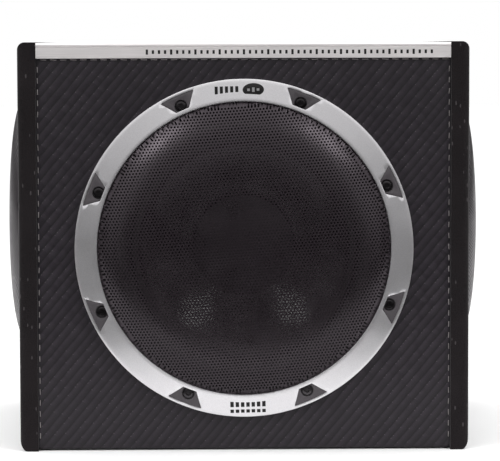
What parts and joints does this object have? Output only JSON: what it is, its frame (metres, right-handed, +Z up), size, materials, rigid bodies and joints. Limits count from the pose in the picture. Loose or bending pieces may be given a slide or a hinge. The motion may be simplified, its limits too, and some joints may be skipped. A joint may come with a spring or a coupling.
{
  "type": "powered car subwoofer",
  "caption": "Sealed box subwoofer for a car with a driven front cone, passive radiators in both sides and an amplifier in the back.",
  "frame": {"origin": "on the ground, under the middle of the object's box", "axes": "+X to the right seen from the front, the front faces -Y, +Z up"},
  "size_m": [0.475, 0.404, 0.401],
  "materials": {
    "flock": "short black flock on the side boards, with fine lint",
    "vinyl": "black vinyl embossed with a carbon twill",
    "fibreboard": "bare medium-density fibreboard",
    "trim_aluminium": "satin aluminium, brushed along its length",
    "ring_silver": "satin silver",
    "frame_plastic": "dark grey moulded plastic",
    "grille_steel": "gloss black paint on perforated steel",
    "foam_rubber": "matt black",
    "basket_steel": "black powder coat",
    "motor_steel": "zinc-plated steel",
    "ferrite": "dark grey ferrite",
    "black_plastic": "black moulded plastic",
    "cone_black": "glossy black polymer cone",
    "copper_wire": "enamelled copper wire",
    "surround_rubber": "black butyl rubber",
    "spider_cloth": "resin-treated cloth",
    "plate_black": "black anodised heat sink",
    "board_green": "green solder mask",
    "knob_plastic": "black with a white pointer",
    "socket_metal": "gold-plated sockets",
    "fuse_blue": "translucent blue fuse body",
    "screw_black": "black oxide steel"
  },
  "bodies": {
    "cabinet": {"left_cheek": "flock", "right_cheek": "flock", "vinyl_wrap": "vinyl", "front_baffle": "fibreboard", "back_panel": "fibreboard", "top_panel": "fibreboard", "bottom_panel": "fibreboard", "window_brace": "fibreboard", "top_trim": "trim_aluminium", "front_ring": "ring_silver", "left_ring": "ring_silver", "right_ring": "ring_silver", "front_grille_frame": "frame_plastic", "left_grille_frame": "frame_plastic", "right_grille_frame": "frame_plastic", "front_grille": "grille_steel", "left_grille": "grille_steel", "right_grille": "grille_steel", "driver_gasket": "foam_rubber", "driver_basket": "basket_steel", "left_basket": "basket_steel", "right_basket": "basket_steel", "top_plate": "motor_steel", "yoke": "motor_steel", "ring_magnet": "ferrite", "terminal_block": "black_plastic", "front_surround": "surround_rubber", "left_surround": "surround_rubber", "right_surround": "surround_rubber", "spider": "spider_cloth", "amp_plate": "plate_black", "circuit_board": "board_green", "transformer": "copper_wire", "capacitor_1": "black_plastic", "capacitor_2": "black_plastic", "input_sockets": "socket_metal", "remote_socket": "black_plastic", "power_terminals": "black_plastic", "speaker_lead": "foam_rubber", "ring_screw_1": "screw_black", "ring_screw_2": "screw_black", "ring_screw_3": "screw_black", "ring_screw_4": "screw_black", "ring_screw_5": "screw_black", "ring_screw_6": "screw_black", "ring_screw_7": "screw_black", "ring_screw_8": "screw_black"},
    "driver_cone": {"cone": "cone_black", "dust_cap": "cone_black", "voice_coil": "copper_wire"},
    "left_radiator": {"left_diaphragm": "cone_black", "left_weight": "motor_steel"},
    "right_radiator": {"right_diaphragm": "cone_black", "right_weight": "motor_steel"},
    "gain_knob": {"gain_knob": "knob_plastic"},
    "crossover_knob": {"crossover_knob": "knob_plastic"},
    "boost_knob": {"boost_knob": "knob_plastic"},
    "phase_switch": {"phase_switch": "black_plastic"},
    "fuse_1": {"fuse_1": "fuse_blue"},
    "fuse_2": {"fuse_2": "fuse_blue"}
  },
  "joints": [
    {"name": "cone_stroke", "type": "slide", "parent": "cabinet", "child": "driver_cone", "axis": [0, -1, 0], "range_m": [-0.01, 0.01], "stiffness_N_per_m": 4000, "deforming": ["front_surround", "spider"]},
    {"name": "left_radiator_stroke", "type": "slide", "parent": "cabinet", "child": "left_radiator", "axis": [-1, 0, 0], "range_m": [-0.006, 0.006], "stiffness_N_per_m": 3000, "deforming": ["left_surround"]},
    {"name": "right_radiator_stroke", "type": "slide", "parent": "cabinet", "child": "right_radiator", "axis": [1, 0, 0], "range_m": [-0.006, 0.006], "stiffness_N_per_m": 3000, "deforming": ["right_surround"]},
    {"name": "gain_knob_turn", "type": "hinge", "parent": "cabinet", "child": "gain_knob", "pos_m": [0.095, 0.185, 0.158], "axis": [0, 1, 0], "range_deg": [-140, 140]},
    {"name": "crossover_knob_turn", "type": "hinge", "parent": "cabinet", "child": "crossover_knob", "pos_m": [0.055, 0.185, 0.158], "axis": [0, 1, 0], "range_deg": [-140, 140]},
    {"name": "boost_knob_turn", "type": "hinge", "parent": "cabinet", "child": "boost_knob", "pos_m": [0.015, 0.185, 0.158], "axis": [0, 1, 0], "range_deg": [-140, 140]},
    {"name": "phase_slide", "type": "slide", "parent": "cabinet", "child": "phase_switch", "axis": [-1, 0, 0], "range_m": [0, 0.004]},
    {"name": "fuse_1_pull", "type": "slide", "parent": "cabinet", "child": "fuse_1", "axis": [0, 1, 0], "range_m": [0, 0.02]},
    {"name": "fuse_2_pull", "type": "slide", "parent": "cabinet", "child": "fuse_2", "axis": [0, 1, 0], "range_m": [0, 0.02]}
  ],
  "couplings": [
    {"joint": "left_radiator_stroke", "follows": "cone_stroke", "ratio": -0.5},
    {"joint": "right_radiator_stroke", "follows": "cone_stroke", "ratio": -0.5}
  ]
}
